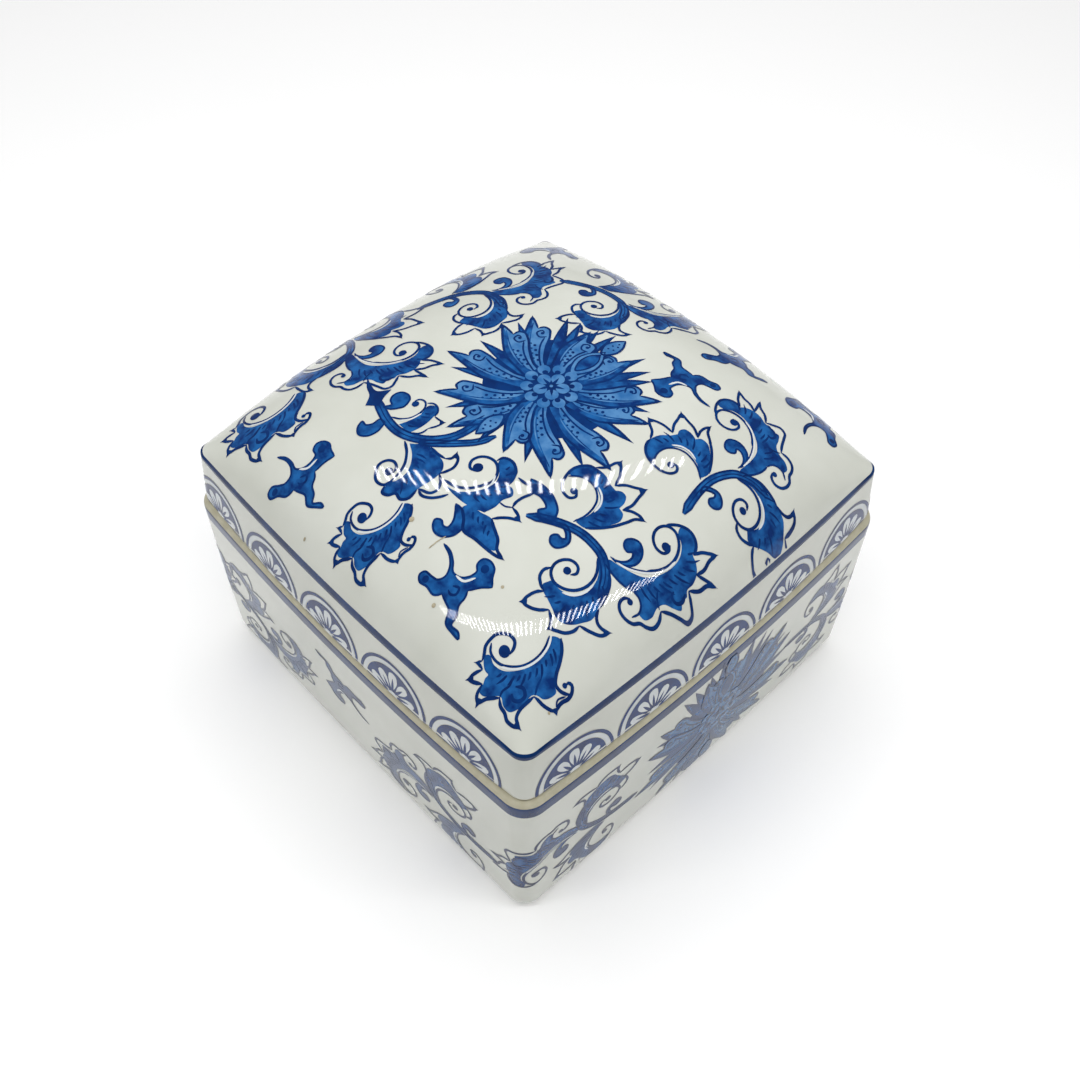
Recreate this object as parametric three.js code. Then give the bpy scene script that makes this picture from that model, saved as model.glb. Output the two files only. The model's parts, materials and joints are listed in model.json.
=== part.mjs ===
// Square porcelain trinket box with a domed lift-off lid.
// Millimetres, +Z up. The origin is on the table under the middle of the box,
// and the X and Y axes run square to the four bowed sides.
import * as THREE from 'three';

// --- Driving dimensions -------------------------------------------------------
// A half width is measured at the corners; the middle of a side stands out by the bow.

const BOW = 2.6; // bow of every side above the heel
const SEAT_GAP = 0.3; // clearance under the seated lid
const LIP_ROUND = 0.8; // soft edge of the rim and of the skirt
const INNER_CORNER = 2.5; // plan radius of the inside corners

const BASE_HALF = 67.2; // half width of the base at its shoulder
const BASE_CORNER = 7; // plan radius of the base's corners
const BASE_HEIGHT = 62.5; // table to shoulder
const BASE_WALL = 5.4; // wall thickness
const SHOULDER_ROUND = 2.6; // roll-over from the side wall to the shoulder

const HEEL_HALF = 66.4; // half width where the wall turns under
const HEEL_BOW = 0.6; // the sides are nearly straight at the heel
const HEEL_CORNER = 5.5;
const HEEL_ROUND = 3.2; // roll-under radius above the foot
const FOOT_HALF = 60; // outside of the foot ring
const FOOT_CORNER = 4;
const FOOT_WIDTH = 5; // width of the foot ring's flat face
const FOOT_HEIGHT = 1.8; // foot ring below the underside
const FLOOR_TOP = 7.6; // inside floor above the table
const FLOOR_ROUND = 9; // fillet between the inside floor and wall

const RIM_HALF = 61.2; // outside of the upstanding rim that locates the lid
const RIM_CORNER = 3;
const RIM_WALL = 3.2;
const RIM_HEIGHT = 7; // rim above the shoulder
const RIM_ROOT = 2.5; // how far the rim's inside face runs on below the shoulder
const RIM_FLARE = 8; // depth below the shoulder where the inside wall is full width again

const LID_HALF = 64.5; // half width at the edge between skirt and dome
const LID_CORNER = 3;
const SKIRT_HALF = 65.7; // half width at the skirt's lower edge
const SKIRT_CORNER = 6.5;
const SKIRT_HEIGHT = 17.3;
const LID_WALL = 3.9;
const DOME_HEIGHT = 25.8; // edge to crown
const DOME_POWER = 2.6; // 2 would be round across the middle, more is flatter on top
const DOME_BLUNT = 0.015; // how blunt the dome meets its edge, 0 for a vertical meeting
const CROWN_WALL = 5; // thickness at the crown
const UNDER_EDGE = 1; // depth of the inside dome's edge below the outside one

const SIDE_STEPS = 10; // facets along one side
const CORNER_STEPS = 5; // facets round one corner
const ROUND_STEPS = 3; // facets across a roll-over
const DOME_SHARES = [0.97, 0.92, 0.84, 0.72, 0.56, 0.38, 0.18]; // rings on a dome, edge to crown

const GLAZE = { color: 0xe3e5de, roughness: 0.12, metalness: 0 };

const { lerp } = THREE.MathUtils;

// --- Plan outline and skin ----------------------------------------------------

// One closed loop: four circular side arcs of the given bow, joined by corner arcs.
function outline(half, bow, corner, z) {
  const radius = (half * half + bow * bow) / (2 * bow);
  const offset = radius - half - bow;
  const reach = radius - corner;
  const cornerAt = (Math.sqrt(2 * reach * reach - offset * offset) - offset) / 2;
  const turn = Math.atan2(cornerAt, cornerAt + offset);
  const up = new THREE.Vector3(0, 0, 1);
  const points = [];
  for (let side = 0; side < 4; side += 1) {
    const place = (x, y) => {
      points.push(new THREE.Vector3(x, y, z).applyAxisAngle(up, (side * Math.PI) / 2));
    };
    for (let i = 0; i <= SIDE_STEPS; i += 1) {
      const angle = lerp(-turn, turn, i / SIDE_STEPS);
      place(radius * Math.sin(angle), offset - radius * Math.cos(angle));
    }
    for (let i = 1; i < CORNER_STEPS; i += 1) {
      const angle = lerp(turn, Math.PI / 2 - turn, i / CORNER_STEPS);
      place(cornerAt + corner * Math.sin(angle), -cornerAt - corner * Math.cos(angle));
    }
  }
  return points;
}

// Skins a list of loops into one closed body, from one middle point to the other.
function skin(firstMiddle, loops, lastMiddle) {
  const count = loops[0].length;
  const points = [firstMiddle, ...loops.flat(), lastMiddle];
  const at = (ring, i) => 1 + ring * count + (i % count);
  const last = points.length - 1;
  const faces = [];
  for (let i = 0; i < count; i += 1) {
    faces.push(0, at(0, i + 1), at(0, i));
    for (let ring = 0; ring + 1 < loops.length; ring += 1) {
      faces.push(at(ring, i), at(ring, i + 1), at(ring + 1, i + 1));
      faces.push(at(ring, i), at(ring + 1, i + 1), at(ring + 1, i));
    }
    faces.push(last, at(loops.length - 1, i), at(loops.length - 1, i + 1));
  }
  const geometry = new THREE.BufferGeometry().setFromPoints(points);
  geometry.setIndex(faces);
  geometry.computeVertexNormals();
  return geometry;
}

const middle = (z) => new THREE.Vector3(0, 0, z);

// Angles from 0 to a quarter turn, for a rounded edge.
function quarterTurn(steps) {
  return Array.from({ length: steps + 1 }, (_, i) => (i / steps) * (Math.PI / 2));
}

// --- Base ---------------------------------------------------------------------

// Outside of the base wall at height z, moved in by inset.
function wallLoop(z, inset) {
  const up = (z - FOOT_HEIGHT) / (BASE_HEIGHT - FOOT_HEIGHT);
  const swell = 1 - (1 - up) ** 2;
  const half = lerp(HEEL_HALF, BASE_HALF, swell) - inset;
  const corner = Math.max(lerp(HEEL_CORNER, BASE_CORNER, swell) - inset, INNER_CORNER);
  return outline(half, lerp(HEEL_BOW, BOW, swell), corner, z);
}

// Underside, foot ring and the heel that turns up into the wall.
function footLoops() {
  const inside = FOOT_HALF - FOOT_WIDTH;
  return [
    outline(inside, HEEL_BOW, INNER_CORNER, FOOT_HEIGHT),
    outline(inside, HEEL_BOW, INNER_CORNER, 0),
    outline(FOOT_HALF, HEEL_BOW, FOOT_CORNER, 0),
    outline(FOOT_HALF, HEEL_BOW, FOOT_CORNER, FOOT_HEIGHT),
    ...quarterTurn(ROUND_STEPS).map((angle) =>
      wallLoop(
        FOOT_HEIGHT + HEEL_ROUND * (1 - Math.cos(angle)),
        HEEL_ROUND * (1 - Math.sin(angle)),
      ),
    ),
  ];
}

// Side wall and the roll-over to the shoulder.
function sideLoops() {
  const low = FOOT_HEIGHT + HEEL_ROUND;
  const high = BASE_HEIGHT - SHOULDER_ROUND;
  return [
    ...[0.2, 0.4, 0.6, 0.8].map((part) => wallLoop(lerp(low, high, part), 0)),
    ...quarterTurn(ROUND_STEPS).map((angle) =>
      wallLoop(
        high + SHOULDER_ROUND * Math.sin(angle),
        SHOULDER_ROUND * (1 - Math.cos(angle)),
      ),
    ),
  ];
}

// Upstanding rim that the lid drops over, outside and inside.
function rimLoops() {
  const top = BASE_HEIGHT + RIM_HEIGHT;
  const inside = RIM_HALF - RIM_WALL;
  return [
    outline(RIM_HALF, BOW, RIM_CORNER, BASE_HEIGHT),
    outline(RIM_HALF, BOW, RIM_CORNER, top - LIP_ROUND),
    outline(RIM_HALF - LIP_ROUND, BOW, RIM_CORNER, top),
    outline(inside + LIP_ROUND, BOW, RIM_CORNER, top),
    outline(inside, BOW, INNER_CORNER, top - LIP_ROUND),
    outline(inside, BOW, INNER_CORNER, BASE_HEIGHT - RIM_ROOT),
  ];
}

// Inside wall, flared out below the rim, and the rounded floor.
function insideLoops() {
  const high = BASE_HEIGHT - RIM_FLARE;
  const low = FLOOR_TOP + FLOOR_ROUND;
  return [
    ...[0, 0.5].map((part) => wallLoop(lerp(high, low, part), BASE_WALL)),
    ...quarterTurn(ROUND_STEPS + 1).map((angle) =>
      wallLoop(
        low - FLOOR_ROUND * Math.sin(angle),
        BASE_WALL + FLOOR_ROUND * (1 - Math.cos(angle)),
      ),
    ),
  ];
}

function baseGeometry() {
  const loops = [...footLoops(), ...sideLoops(), ...rimLoops(), ...insideLoops()];
  return skin(middle(FOOT_HEIGHT), loops, middle(FLOOR_TOP));
}

// --- Lid ----------------------------------------------------------------------

// Rise of a dome from its edge (t = 1) to its crown (t = 0), from 0 to 1.
function domeEase(t) {
  const blunt = Math.sqrt(DOME_BLUNT);
  const inside = Math.max(1 + DOME_BLUNT - Math.abs(t) ** DOME_POWER, DOME_BLUNT);
  return (Math.sqrt(inside) - blunt) / (Math.sqrt(1 + DOME_BLUNT) - blunt);
}

// The edge loop drawn in to the given share of its size and lifted onto the dome.
function domeLoop(half, corner, height, z, share) {
  return outline(half, BOW, corner, z).map((p) => {
    const x = p.x * share;
    const y = p.y * share;
    const across = x / (half + BOW * (1 - (y / half) ** 2));
    const along = y / (half + BOW * (1 - (x / half) ** 2));
    return new THREE.Vector3(x, y, z + height * domeEase(across) * domeEase(along));
  });
}

// Skirt, from its inside top round the lower edge to the outside top.
function skirtLoops(seat, edge) {
  const inside = SKIRT_HALF - LID_WALL;
  return [
    outline(inside, BOW, INNER_CORNER, edge - 2 * UNDER_EDGE),
    outline(inside, BOW, INNER_CORNER, seat + LIP_ROUND),
    outline(inside + LIP_ROUND, BOW, INNER_CORNER + LIP_ROUND, seat),
    outline(SKIRT_HALF - LIP_ROUND, BOW, SKIRT_CORNER - LIP_ROUND, seat),
    outline(SKIRT_HALF, BOW, SKIRT_CORNER, seat + LIP_ROUND),
    outline(
      lerp(SKIRT_HALF, LID_HALF, 0.5),
      BOW,
      lerp(SKIRT_CORNER, LID_CORNER, 0.5),
      lerp(seat, edge, 0.5),
    ),
    outline(LID_HALF, BOW, LID_CORNER, edge),
  ];
}

function lidGeometry() {
  const seat = BASE_HEIGHT + SEAT_GAP;
  const edge = seat + SKIRT_HEIGHT;
  const under = { z: edge - UNDER_EDGE, height: DOME_HEIGHT - CROWN_WALL };
  const inside = SKIRT_HALF - LID_WALL;
  const underLoops = DOME_SHARES.map((share) =>
    domeLoop(inside, INNER_CORNER, under.height, under.z, share),
  );
  const topLoops = DOME_SHARES.map((share) =>
    domeLoop(LID_HALF, LID_CORNER, DOME_HEIGHT, edge, share),
  );
  const loops = [...underLoops.reverse(), ...skirtLoops(seat, edge), ...topLoops];
  return skin(middle(under.z + under.height), loops, middle(edge + DOME_HEIGHT));
}

// --- Assembly -----------------------------------------------------------------

function piece(name, geometry) {
  const mesh = new THREE.Mesh(geometry, new THREE.MeshStandardMaterial(GLAZE));
  mesh.name = name;
  return mesh;
}

const box = new THREE.Group();
box.add(piece('box_base', baseGeometry()));
box.add(piece('lid', lidGeometry()));

export default box;
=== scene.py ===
"""Square blue-and-white porcelain trinket box with a domed lift-off lid.

Shapes are worked out in millimetres, like the CAD, and turned into metres when a mesh is made.
The painting is drawn with a brush in flat millimetres and laid on the formulas of the two surfaces.
"""
import json
import math

import bpy
import numpy as np
from mathutils import Matrix, Vector
from mathutils.geometry import delaunay_2d_cdt

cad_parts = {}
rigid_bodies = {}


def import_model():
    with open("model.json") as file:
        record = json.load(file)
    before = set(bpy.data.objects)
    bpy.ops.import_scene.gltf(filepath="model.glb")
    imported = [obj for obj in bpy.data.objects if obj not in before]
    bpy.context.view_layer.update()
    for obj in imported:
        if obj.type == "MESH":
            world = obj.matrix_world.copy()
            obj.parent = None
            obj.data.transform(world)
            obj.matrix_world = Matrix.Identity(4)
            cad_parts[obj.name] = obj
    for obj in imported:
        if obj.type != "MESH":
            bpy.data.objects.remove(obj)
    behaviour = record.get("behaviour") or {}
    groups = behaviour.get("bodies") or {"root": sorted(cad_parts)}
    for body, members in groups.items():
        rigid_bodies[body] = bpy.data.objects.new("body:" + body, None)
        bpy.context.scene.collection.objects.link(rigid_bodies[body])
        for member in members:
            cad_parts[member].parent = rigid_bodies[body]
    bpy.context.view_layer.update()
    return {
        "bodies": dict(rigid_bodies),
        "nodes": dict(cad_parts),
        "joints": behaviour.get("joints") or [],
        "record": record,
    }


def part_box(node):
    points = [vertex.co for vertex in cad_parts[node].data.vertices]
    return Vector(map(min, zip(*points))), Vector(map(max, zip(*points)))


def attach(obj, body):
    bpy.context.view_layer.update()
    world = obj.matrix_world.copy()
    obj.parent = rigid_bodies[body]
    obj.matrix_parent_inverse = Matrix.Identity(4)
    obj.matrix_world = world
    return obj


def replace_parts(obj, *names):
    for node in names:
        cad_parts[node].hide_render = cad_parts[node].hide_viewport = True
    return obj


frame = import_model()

MM = 0.001

# --- Driving dimensions -------------------------------------------------------
# As in the CAD, apart from SKIRT_BOW, SKIRT_CORNER and LID_CORNER, which were judged.

BASE_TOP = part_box("box_base")[1][2] / MM  # top of the rim
LID_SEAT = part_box("lid")[0][2] / MM
LID_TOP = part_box("lid")[1][2] / MM

BOW = 2.6
RIM_HEIGHT = 7
SHOULDER = BASE_TOP - RIM_HEIGHT
BASE_HALF = 67.2
BASE_CORNER = 7
BASE_WALL = 5.4
SHOULDER_ROUND = 2.6
HEEL_HALF = 66.4
HEEL_BOW = 0.6
HEEL_CORNER = 5.5
HEEL_ROUND = 3.2
FOOT_HALF = 60
FOOT_CORNER = 4
FOOT_WIDTH = 5
FOOT_HEIGHT = 1.8
FLOOR_TOP = 7.6
FLOOR_ROUND = 9
RIM_HALF = 61.2
RIM_CORNER = 3
RIM_WALL = 3.2
RIM_ROOT = 2.5
RIM_FLARE = 8
INNER_CORNER = 2.5
LIP_ROUND = 0.8

LID_HALF = 64.5
LID_CORNER = 4.2
SKIRT_HALF = 65.7
SKIRT_CORNER = 4.8
SKIRT_BOW = 3.4
SKIRT_HEIGHT = 17.3
LID_EDGE = LID_SEAT + SKIRT_HEIGHT
LID_WALL = 3.9
DOME_HEIGHT = LID_TOP - LID_EDGE
DOME_POWER = 2.6
DOME_BLUNT = 0.015
CROWN_WALL = 5
UNDER_EDGE = 1

# Painted bands.
EDGE_LINE_SKIRT = 0.8  # the line on the lid's edge, down the skirt
EDGE_LINE_DOME = 0.992  # and up the dome, as a share of its half width
BASE_LINE_TOP = SHOULDER - 1.8
BASE_LINE_LOW = SHOULDER - 6.1

# Painting: every mark lies on the glaze, each layer a little higher than the one below it.
ROSETTE_PITCH = 25.4
FIRST_LIFT = 0.04
LAYER_LIFT = 0.018
FILL_STEP = 1.3  # spacing of the points inside a filled mark
CURVE_STEP = 0.45  # spacing of the points along a drawn curve
TIP = "tip"  # a sharp point that the brush fills
NOTCH = "notch"  # a sharp inward turn

# --- Surfaces -----------------------------------------------------------------


def lerp(a, b, share):
    return a + (b - a) * share


def plan_arcs(half, bow, corner):
    """The bowed side's radius and centre offset, the corner arc's centre, and half the angle of a side."""
    radius = (half * half + bow * bow) / (2 * bow)
    offset = radius - half - bow
    reach = radius - corner
    corner_at = (np.sqrt(2 * reach * reach - offset * offset) - offset) / 2
    return radius, offset, corner_at, np.arctan2(corner_at, corner_at + offset)


def outline_point(side, along, half, bow, corner):
    """Plan point at a distance along one side, counted from its middle, round the corners if need be."""
    radius, offset, corner_at, turn = plan_arcs(half, bow, corner)
    side_run = 2 * radius * turn
    period = side_run + corner * (math.pi / 2 - 2 * turn)
    quarter = np.floor((along + side_run / 2) / period)
    run = along + side_run / 2 - quarter * period
    on_side = run < side_run
    flat_angle = run / radius - turn
    round_angle = turn + (run - side_run) / corner
    x = np.where(on_side, radius * np.sin(flat_angle), corner_at + corner * np.sin(round_angle))
    y = np.where(on_side, offset - radius * np.cos(flat_angle), -corner_at - corner * np.cos(round_angle))
    spin = (side + quarter) * math.pi / 2
    return x * np.cos(spin) - y * np.sin(spin), x * np.sin(spin) + y * np.cos(spin)


def roll_inset(depth, radius):
    """How far a rounded edge draws in, at a depth past the start of its rounding."""
    share = np.clip(depth / radius, 0, 1)
    return radius * (1 - np.sqrt(1 - share * share))


def wall_sizes(z):
    """Half width, bow and corner radius of the base's outside at height z."""
    swell = 1 - (1 - (z - FOOT_HEIGHT) / (SHOULDER - FOOT_HEIGHT)) ** 2
    inset = roll_inset(z - (SHOULDER - SHOULDER_ROUND), SHOULDER_ROUND)
    inset = inset + roll_inset(FOOT_HEIGHT + HEEL_ROUND - z, HEEL_ROUND)
    half = lerp(HEEL_HALF, BASE_HALF, swell) - inset
    corner = np.maximum(lerp(HEEL_CORNER, BASE_CORNER, swell) - inset, INNER_CORNER)
    return half, lerp(HEEL_BOW, BOW, swell), corner


def skirt_sizes(z):
    """Half width, bow and corner radius of the lid's skirt at height z."""
    share = (z - LID_SEAT) / SKIRT_HEIGHT
    half = lerp(SKIRT_HALF, LID_HALF, share)
    return half, lerp(SKIRT_BOW, BOW, share), lerp(SKIRT_CORNER, LID_CORNER, share)


def side_surface(side, sizes):
    """One side as a surface, placed by a distance along it and a height."""
    def place(along, z):
        x, y = outline_point(side, along, *sizes(z))
        return np.stack([x, y, z], axis=-1)
    return place


def dome_ease(share):
    blunt = math.sqrt(DOME_BLUNT)
    inside = np.maximum(1 + DOME_BLUNT - np.abs(share) ** DOME_POWER, DOME_BLUNT)
    return (np.sqrt(inside) - blunt) / (math.sqrt(1 + DOME_BLUNT) - blunt)


def dome_height(x, y, half):
    across = x / (half + BOW * (1 - (y / half) ** 2))
    along = y / (half + BOW * (1 - (x / half) ** 2))
    return dome_ease(across) * dome_ease(along)


def dome_surface(x, y):
    return np.stack([x, y, LID_EDGE + DOME_HEIGHT * dome_height(x, y, LID_HALF)], axis=-1)


def surface_normal(place, u, v):
    """Outward unit normals of a surface, from small steps along it."""
    step = 0.05
    across = place(u + step, v) - place(u - step, v)
    along = place(u, v + step) - place(u, v - step)
    normal = np.cross(across, along)
    return normal / np.linalg.norm(normal, axis=-1, keepdims=True)


# --- Meshes -------------------------------------------------------------------


def mesh_object(name, body, points, faces, inks, slots, normals=None):
    """A piece from points in millimetres; slots gives each face its ink's index."""
    mesh = bpy.data.meshes.new(name)
    mesh.from_pydata([tuple(p) for p in np.asarray(points) * MM], [], faces)
    for ink in inks:
        mesh.materials.append(ink)
    mesh.polygons.foreach_set("material_index", slots)
    mesh.shade_smooth()
    if normals is not None:
        mesh.normals_split_custom_set_from_vertices([tuple(n) for n in normals])
    piece = bpy.data.objects.new(name, mesh)
    bpy.context.scene.collection.objects.link(piece)
    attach(piece, body)
    return piece


# --- Curves -------------------------------------------------------------------


def through(points, closed=False):
    """A smooth curve through the points of one run, as an array."""
    knots = np.array([p[:2] for p in points], dtype=float)
    if closed:
        knots = np.vstack([knots[-2:], knots, knots[:2]])
    gaps = np.linalg.norm(np.diff(knots, axis=0), axis=1)
    slopes = np.diff(knots, axis=0) / gaps[:, None]
    lean = np.empty_like(knots)
    lean[0] = slopes[0]
    lean[-1] = slopes[-1]
    weight = gaps[:-1] / (gaps[:-1] + gaps[1:])
    lean[1:-1] = slopes[:-1] * (1 - weight[:, None]) + slopes[1:] * weight[:, None]
    first, last = (2, len(knots) - 3) if closed else (0, len(knots) - 1)
    parts = []
    for i in range(first, last + (1 if closed else 0)):
        steps = max(2, math.ceil(gaps[i] / CURVE_STEP))
        s = np.arange(steps)[:, None] / steps
        parts.append(
            knots[i] * (2 * s**3 - 3 * s**2 + 1)
            + lean[i] * gaps[i] * (s**3 - 2 * s**2 + s)
            + knots[i + 1] * (3 * s**2 - 2 * s**3)
            + lean[i + 1] * gaps[i] * (s**3 - s**2)
        )
    if not closed:
        parts.append(knots[-1:])
    return np.vstack(parts)


def runs_between_turns(points, closed):
    """Splits a list of points at its tips and notches."""
    points = list(points)
    turns = [i for i, p in enumerate(points) if len(p) > 2]
    if closed and turns:
        points = points[turns[0]:] + points[: turns[0] + 1]
        turns = [i for i, p in enumerate(points) if len(p) > 2]
    cuts = sorted({0, len(points) - 1, *turns})
    return [points[a:b + 1] for a, b in zip(cuts, cuts[1:])]


def curve_runs(points, closed=False):
    if closed and not any(len(p) > 2 for p in points):
        return [through(points, closed=True)]
    return [through(run) for run in runs_between_turns(points, closed)]


def closed_curve(points):
    runs = curve_runs(points, closed=True)
    if len(runs) == 1 and not any(len(p) > 2 for p in points):
        return runs[0]
    return np.vstack([run[:-1] for run in runs])


def tips(points):
    """Each tip with its two neighbours."""
    for i, p in enumerate(points):
        if len(p) > 2 and p[2] == TIP and 0 < i < len(points) - 1:
            yield points[i - 1], p, points[i + 1]


def sideways(path):
    """Unit vectors to the left of a path."""
    heading = np.gradient(path, axis=0)
    heading /= np.linalg.norm(heading, axis=1, keepdims=True)
    return np.stack([-heading[:, 1], heading[:, 0]], axis=1)


def ring(x, y, radius, squash=1.0, count=14):
    """Points of a round or oval mark."""
    turns = [2 * math.pi * i / count for i in range(count)]
    return [(x + radius * math.cos(a), y + radius * squash * math.sin(a)) for a in turns]


# --- The brush ----------------------------------------------------------------


class Canvas:
    """Collects the marks of one body and makes one piece for each ink."""

    def __init__(self, body):
        self.body = body
        self.marks = {}

    def add(self, ink, points, faces, normals):
        store = self.marks.setdefault(ink, [[], [], []])
        start = len(store[0])
        store[0].extend(points)
        store[1].extend(tuple(start + i for i in face) for face in faces)
        store[2].extend(normals)

    def finish(self, materials):
        for ink, (points, faces, normals) in self.marks.items():
            name = f"{self.body}_paint_{ink}"
            piece = mesh_object(
                name, self.body, points, faces, [materials[ink]], [0] * len(faces), normals
            )


class Brush:
    """Draws in millimetres in its own frame, which lies somewhere on a surface."""

    def __init__(self, canvas, surface, hold, frame=None):
        self.canvas = canvas
        self.surface = surface
        self.hold = hold  # keeps flat points on the painted part of the surface
        self.frame = np.eye(3) if frame is None else frame
        self.scale = math.sqrt(np.linalg.det(self.frame[:2, :2]))

    def at(self, x, y, turn=0.0, size=1.0):
        """The same brush in a frame moved to x, y, turned by degrees and sized."""
        c = math.cos(math.radians(turn)) * size
        s = math.sin(math.radians(turn)) * size
        move = np.array([[c, -s, x], [s, c, y], [0, 0, 1]])
        return Brush(self.canvas, self.surface, self.hold, self.frame @ move)

    def spread(self, flat):
        """Own frame to the surface's flat coordinates."""
        return np.asarray(flat) @ self.frame[:2, :2].T + self.frame[:2, 2]

    def lay(self, ink, layer, flat, faces):
        """Lifts flat points and faces onto the surface, without the faces that run off its edge."""
        held = self.hold(flat)
        on_edge = np.abs(held - flat).max(axis=1) > 0.2
        faces = [face for face in faces if not on_edge[list(face)].any()]
        if not faces:
            return
        u, v = held[:, 0], held[:, 1]
        normals = surface_normal(self.surface, u, v)
        points = self.surface(u, v) + normals * (FIRST_LIFT + LAYER_LIFT * layer)
        self.canvas.add(ink, points.tolist(), faces, normals.tolist())

    def ribbon(self, ink, layer, path, reach):
        """A strip along a flat path, with its own reach to both sides at each point."""
        side = sideways(path) * reach[:, None]
        count = len(path)
        faces = [(i, count + i, count + i + 1, i + 1) for i in range(count - 1)]
        self.lay(ink, layer, np.vstack([path + side, path - side]), faces)

    def fill(self, points, ink="wash", layer=0):
        """A filled mark inside a closed curve."""
        border = self.hold(self.spread(closed_curve(points)))
        keep = np.linalg.norm(border - np.roll(border, 1, axis=0), axis=1) > 0.02
        border = border[keep]
        if len(border) < 3:
            return
        low = np.floor(border.min(axis=0) / FILL_STEP) * FILL_STEP
        high = border.max(axis=0)
        steps_u, steps_v = (np.arange(low[i], high[i] + FILL_STEP, FILL_STEP) for i in (0, 1))
        grid_u, grid_v = np.meshgrid(steps_u, steps_v)
        inner = np.stack([grid_u.ravel(), grid_v.ravel()], axis=1)
        spots = [Vector(p) for p in np.vstack([border, inner]).tolist()]
        found = delaunay_2d_cdt(spots, [], [list(range(len(border)))], 1, 1e-5)
        flat = np.array([tuple(p) for p in found[0]])
        faces = [tuple(f) for f in found[2]]
        self.lay(ink, layer, flat, faces)

    def line(self, points, width=0.78, ink="deep", layer=2, closed=False, ends=0.35):
        """A brush line; its ends are thinner, by the share ends."""
        runs = curve_runs(points, closed)
        for run in runs:
            if closed and len(runs) == 1:
                run = np.vstack([run, run[:1]])
            flat = self.spread(run)
            steps = np.linalg.norm(np.diff(flat, axis=0), axis=1)
            keep = np.concatenate([[True], steps > 0.01])
            flat = flat[keep]
            if len(flat) < 2:
                continue
            run_length = np.concatenate([[0], np.cumsum(np.linalg.norm(np.diff(flat, axis=0), axis=1))])
            to_end = np.minimum(run_length, run_length[-1] - run_length)
            share = ends + (1 - ends) * np.clip(to_end / (1.5 * width * self.scale), 0, 1)
            self.ribbon(ink, layer, flat, width * self.scale / 2 * share)
        for before, tip, after in tips(points):
            self.point_tip(before, tip, after, width, ink, layer)

    def point_tip(self, before, tip, after, width, ink, layer):
        """Fills a sharp tip where two lines meet."""
        tip = np.array(tip[:2])
        arms = [np.array(p[:2]) - tip for p in (before, after)]
        lengths = [np.linalg.norm(arm) for arm in arms]
        arms = [arm / length for arm, length in zip(arms, lengths)]
        out = -(arms[0] + arms[1])
        out = out / (np.linalg.norm(out) + 1e-6)
        reach = [min(2.6 * width, 0.8 * length) for length in lengths]
        corners = [tip + arms[0] * reach[0], tip + out * 0.8 * width, tip + arms[1] * reach[1]]
        self.fill([(*p, NOTCH) for p in corners], ink, layer)

    def dot(self, x, y, radius, ink="deep", layer=2, squash=1.0):
        self.fill(ring(x, y, radius, squash), ink, layer)

    def hatch(self, guide, count, length, lean):
        """Tapered strokes that fan out from a guide curve."""
        path = through(guide)
        for i in range(count):
            at = (i + 0.5) / count * (len(path) - 2)
            start = path[int(at)]
            ahead = path[int(at) + 1] - start
            angle = math.atan2(ahead[1], ahead[0]) + math.radians(lean)
            reach = length * (0.95 + 0.4 * math.sin(2.3 * i + 0.6))
            bend = angle - math.radians(14) * (1 if lean > 0 else -1)
            middle = start + 0.5 * reach * np.array([math.cos(angle), math.sin(angle)])
            end = middle + 0.5 * reach * np.array([math.cos(bend), math.sin(bend)])
            self.stroke([tuple(start), tuple(middle), tuple(end)], 0.5, 1)

    def stroke(self, points, width, layer):
        """One tapered stroke, wide at its start and pointed at its end."""
        path = self.spread(through(points))
        share = np.linspace(0, 1, len(path))
        reach = width / 2 * np.sin(math.pi * np.clip(0.2 + 0.8 * share, 0, 1)) + 0.04
        self.ribbon("deep", layer, path, reach * self.scale)


# --- Painted motifs -----------------------------------------------------------
# The spray is drawn with its stem growing up from the origin.


def near_leaf(brush):
    """The lowest leaf of the spray, on the left of the stem."""
    brush.fill([
        (-7.4, 10.6), (-10, 12.6), (-13.2, 14.3), (-15.8, 14.9), (-17.6, 13.9), (-17.9, 12.4, NOTCH),
        (-20, 12.1), (-21.6, 10.9), (-21.5, 9.3), (-20.6, 8.4, NOTCH), (-20.8, 6.3), (-21.6, 4),
        (-21.4, 1), (-20, -1.2), (-17.3, -2.7), (-14.6, -2.5, NOTCH), (-15.7, -1), (-16.9, 1),
        (-17.4, 3.5), (-17, 6), (-15.4, 8.2), (-13, 9), (-9.6, 9), (-7, 8.4, NOTCH),
    ])
    brush.line([
        (-7.6, 11), (-10, 12.9), (-13, 14.7), (-16.5, 16), (-19.3, 16.9), (-20.6, 18.4, TIP),
        (-20.5, 16.6), (-19.7, 14.7), (-18.2, 13.2, NOTCH), (-21, 13.7), (-24, 13.1), (-26.8, 12.7, TIP),
        (-25.2, 10.9), (-23.6, 8.8), (-21.4, 7.3, NOTCH), (-24.2, 6.2), (-27.6, 3.3, TIP), (-26, 2.7),
        (-23.5, 2.2), (-21.3, 0.6, NOTCH), (-20.5, -0.8), (-19, -2), (-17, -2.7), (-14.3, -2.4),
        (-11.6, -1.1), (-10.2, 1), (-10.4, 2.8), (-11.6, 3.5), (-12.9, 2.9),
    ])
    brush.dot(-12.5, 2.1, 0.95)
    brush.line([
        (-6.6, 8), (-9.5, 8.7), (-12.5, 8.5), (-15, 7.5), (-16.9, 5.2), (-17.4, 3), (-16.9, 0.8),
        (-15.6, -1), (-14.4, -1.9),
    ], 0.55)
    brush.line([(-17.9, 5.2), (-16.7, 7.5), (-14.8, 8.9), (-12.2, 9.4)], 0.5, "bare", 3)
    brush.hatch([(-8.5, 10.2), (-12.5, 10.5), (-15.5, 9.9), (-18, 7.8), (-19, 4.8), (-19, 1.4)], 9, 3.0, -62)


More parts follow.
